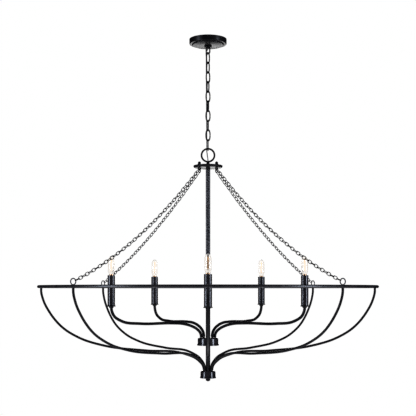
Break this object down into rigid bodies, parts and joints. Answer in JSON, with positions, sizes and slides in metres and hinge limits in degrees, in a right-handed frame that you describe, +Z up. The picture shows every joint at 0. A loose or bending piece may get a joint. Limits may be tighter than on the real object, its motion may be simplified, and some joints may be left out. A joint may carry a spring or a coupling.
{
  "type": "multi arm chandelier",
  "caption": "Chain-hung hoop chandelier: curved candle arms with clear tubular bulbs inside a basket of bent ribs, with a round ceiling canopy.",
  "frame": {"origin": "the ceiling point that the fixture hangs from: the middle of the crossbar's hole, in the plane of its top face and of the canopy's rim", "axes": "+Z up along the stem, -Y towards the front candle, +X to the right as seen from the front"},
  "size_m": [1.1696, 1.1696, 1.1884],
  "materials": {
    "black_metal": "satin black",
    "zinc_steel": "zinc plated",
    "brass_thread": "turned brass",
    "cord_jacket": "matte black jacket",
    "socket_plastic": "moulded phenolic",
    "clear_glass": "clear glass"
  },
  "bodies": {
    "ceiling": {"crossbar": "zinc_steel", "nipple": "brass_thread", "lock_nut": "zinc_steel", "canopy": "black_metal", "canopy_collar": "black_metal", "canopy_loop": "black_metal", "supply_cord": "cord_jacket"},
    "link_01": {"chain_link_01": "black_metal"},
    "link_02": {"chain_link_02": "black_metal"},
    "link_03": {"chain_link_03": "black_metal"},
    "link_04": {"chain_link_04": "black_metal"},
    "link_05": {"chain_link_05": "black_metal"},
    "link_06": {"chain_link_06": "black_metal"},
    "link_07": {"chain_link_07": "black_metal"},
    "link_08": {"chain_link_08": "black_metal"},
    "link_09": {"chain_link_09": "black_metal"},
    "link_10": {"chain_link_10": "black_metal"},
    "fixture": {"fixture_loop": "black_metal", "top_disc": "black_metal", "stem": "black_metal", "arm_hub": "black_metal", "rib_hub": "black_metal", "finial": "black_metal", "hoop": "black_metal", "chain_hook_1": "black_metal", "chain_hook_2": "black_metal", "chain_hook_3": "black_metal", "chain_hook_4": "black_metal", "rib_1": "black_metal", "rib_2": "black_metal", "rib_3": "black_metal", "rib_4": "black_metal", "rib_5": "black_metal", "rib_6": "black_metal", "rib_7": "black_metal", "rib_8": "black_metal", "arm_1": "black_metal", "arm_2": "black_metal", "arm_3": "black_metal", "arm_4": "black_metal", "arm_5": "black_metal", "socket_1": "socket_plastic", "socket_2": "socket_plastic", "socket_3": "socket_plastic", "socket_4": "socket_plastic", "socket_5": "socket_plastic"},
    "side_chain_1": {"side_chain_1": "black_metal"},
    "side_chain_2": {"side_chain_2": "black_metal"},
    "side_chain_3": {"side_chain_3": "black_metal"},
    "side_chain_4": {"side_chain_4": "black_metal"},
    "sleeve_1": {"sleeve_1": "black_metal"},
    "bulb_1": {"bulb_1": "clear_glass"},
    "sleeve_2": {"sleeve_2": "black_metal"},
    "bulb_2": {"bulb_2": "clear_glass"},
    "sleeve_3": {"sleeve_3": "black_metal"},
    "bulb_3": {"bulb_3": "clear_glass"},
    "sleeve_4": {"sleeve_4": "black_metal"},
    "bulb_4": {"bulb_4": "clear_glass"},
    "sleeve_5": {"sleeve_5": "black_metal"},
    "bulb_5": {"bulb_5": "clear_glass"}
  },
  "joints": [
    {"name": "link_01_swing", "type": "hinge", "parent": "ceiling", "child": "link_01", "pos_m": [0, 0, -0.0456], "axis": [0.7071, 0.7071, 0], "range_deg": [-6, 6], "deforming": ["supply_cord"]},
    {"name": "link_02_swing", "type": "hinge", "parent": "link_01", "child": "link_02", "pos_m": [0, 0, -0.07915], "axis": [-0.624, 0.7814, 0], "range_deg": [-6, 6]},
    {"name": "link_03_swing", "type": "hinge", "parent": "link_02", "child": "link_03", "pos_m": [0, 0, -0.1127], "axis": [0.8438, 0.5367, 0], "range_deg": [-6, 6]},
    {"name": "link_04_swing", "type": "hinge", "parent": "link_03", "child": "link_04", "pos_m": [0, 0, -0.14625], "axis": [-0.4472, 0.8944, 0], "range_deg": [-6, 6]},
    {"name": "link_05_swing", "type": "hinge", "parent": "link_04", "child": "link_05", "pos_m": [0, 0, -0.1798], "axis": [0.9338, 0.3577, 0], "range_deg": [-6, 6]},
    {"name": "link_06_swing", "type": "hinge", "parent": "link_05", "child": "link_06", "pos_m": [0, 0, -0.21335], "axis": [-0.2703, 0.9628, 0], "range_deg": [-6, 6]},
    {"name": "link_07_swing", "type": "hinge", "parent": "link_06", "child": "link_07", "pos_m": [0, 0, -0.2469], "axis": [0.9823, 0.1872, 0], "range_deg": [-6, 6]},
    {"name": "link_08_swing", "type": "hinge", "parent": "link_07", "child": "link_08", "pos_m": [0, 0, -0.28045], "axis": [-0.1109, 0.9938, 0], "range_deg": [-6, 6]},
    {"name": "link_09_swing", "type": "hinge", "parent": "link_08", "child": "link_09", "pos_m": [0, 0, -0.314], "axis": [0.999, 0.0451, 0], "range_deg": [-6, 6]},
    {"name": "link_10_swing", "type": "hinge", "parent": "link_09", "child": "link_10", "pos_m": [0, 0, -0.34755], "axis": [0, 1, 0], "range_deg": [-6, 6]},
    {"name": "fixture_swing", "type": "hinge", "parent": "link_10", "child": "fixture", "pos_m": [0, 0, -0.3802], "axis": [1, 0, 0], "range_deg": [-12, 12]},
    {"name": "side_chain_1_sway", "type": "hinge", "parent": "fixture", "child": "side_chain_1", "pos_m": [0.0297, 0.0297, -0.4594], "axis": [0.5732, 0.5732, -0.5855], "range_deg": [-40, 40]},
    {"name": "side_chain_2_sway", "type": "hinge", "parent": "fixture", "child": "side_chain_2", "pos_m": [-0.0297, 0.0297, -0.4594], "axis": [-0.5732, 0.5732, -0.5855], "range_deg": [-40, 40]},
    {"name": "side_chain_3_sway", "type": "hinge", "parent": "fixture", "child": "side_chain_3", "pos_m": [-0.0297, -0.0297, -0.4594], "axis": [-0.5732, -0.5732, -0.5855], "range_deg": [-40, 40]},
    {"name": "side_chain_4_sway", "type": "hinge", "parent": "fixture", "child": "side_chain_4", "pos_m": [0.0297, -0.0297, -0.4594], "axis": [0.5732, -0.5732, -0.5855], "range_deg": [-40, 40]},
    {"name": "sleeve_1_lift", "type": "slide", "parent": "fixture", "child": "sleeve_1", "axis": [0, 0, 1], "range_m": [0, 0.12]},
    {"name": "sleeve_2_lift", "type": "slide", "parent": "fixture", "child": "sleeve_2", "axis": [0, 0, 1], "range_m": [0, 0.12]},
    {"name": "sleeve_3_lift", "type": "slide", "parent": "fixture", "child": "sleeve_3", "axis": [0, 0, 1], "range_m": [0, 0.12]},
    {"name": "sleeve_4_lift", "type": "slide", "parent": "fixture", "child": "sleeve_4", "axis": [0, 0, 1], "range_m": [0, 0.12]},
    {"name": "sleeve_5_lift", "type": "slide", "parent": "fixture", "child": "sleeve_5", "axis": [0, 0, 1], "range_m": [0, 0.12]},
    {"name": "bulb_1_out", "type": "slide", "parent": "fixture", "child": "bulb_1", "axis": [0, 0, 1], "range_m": [0, 0.05]},
    {"name": "bulb_2_out", "type": "slide", "parent": "fixture", "child": "bulb_2", "axis": [0, 0, 1], "range_m": [0, 0.05]},
    {"name": "bulb_3_out", "type": "slide", "parent": "fixture", "child": "bulb_3", "axis": [0, 0, 1], "range_m": [0, 0.05]},
    {"name": "bulb_4_out", "type": "slide", "parent": "fixture", "child": "bulb_4", "axis": [0, 0, 1], "range_m": [0, 0.05]},
    {"name": "bulb_5_out", "type": "slide", "parent": "fixture", "child": "bulb_5", "axis": [0, 0, 1], "range_m": [0, 0.05]}
  ]
}
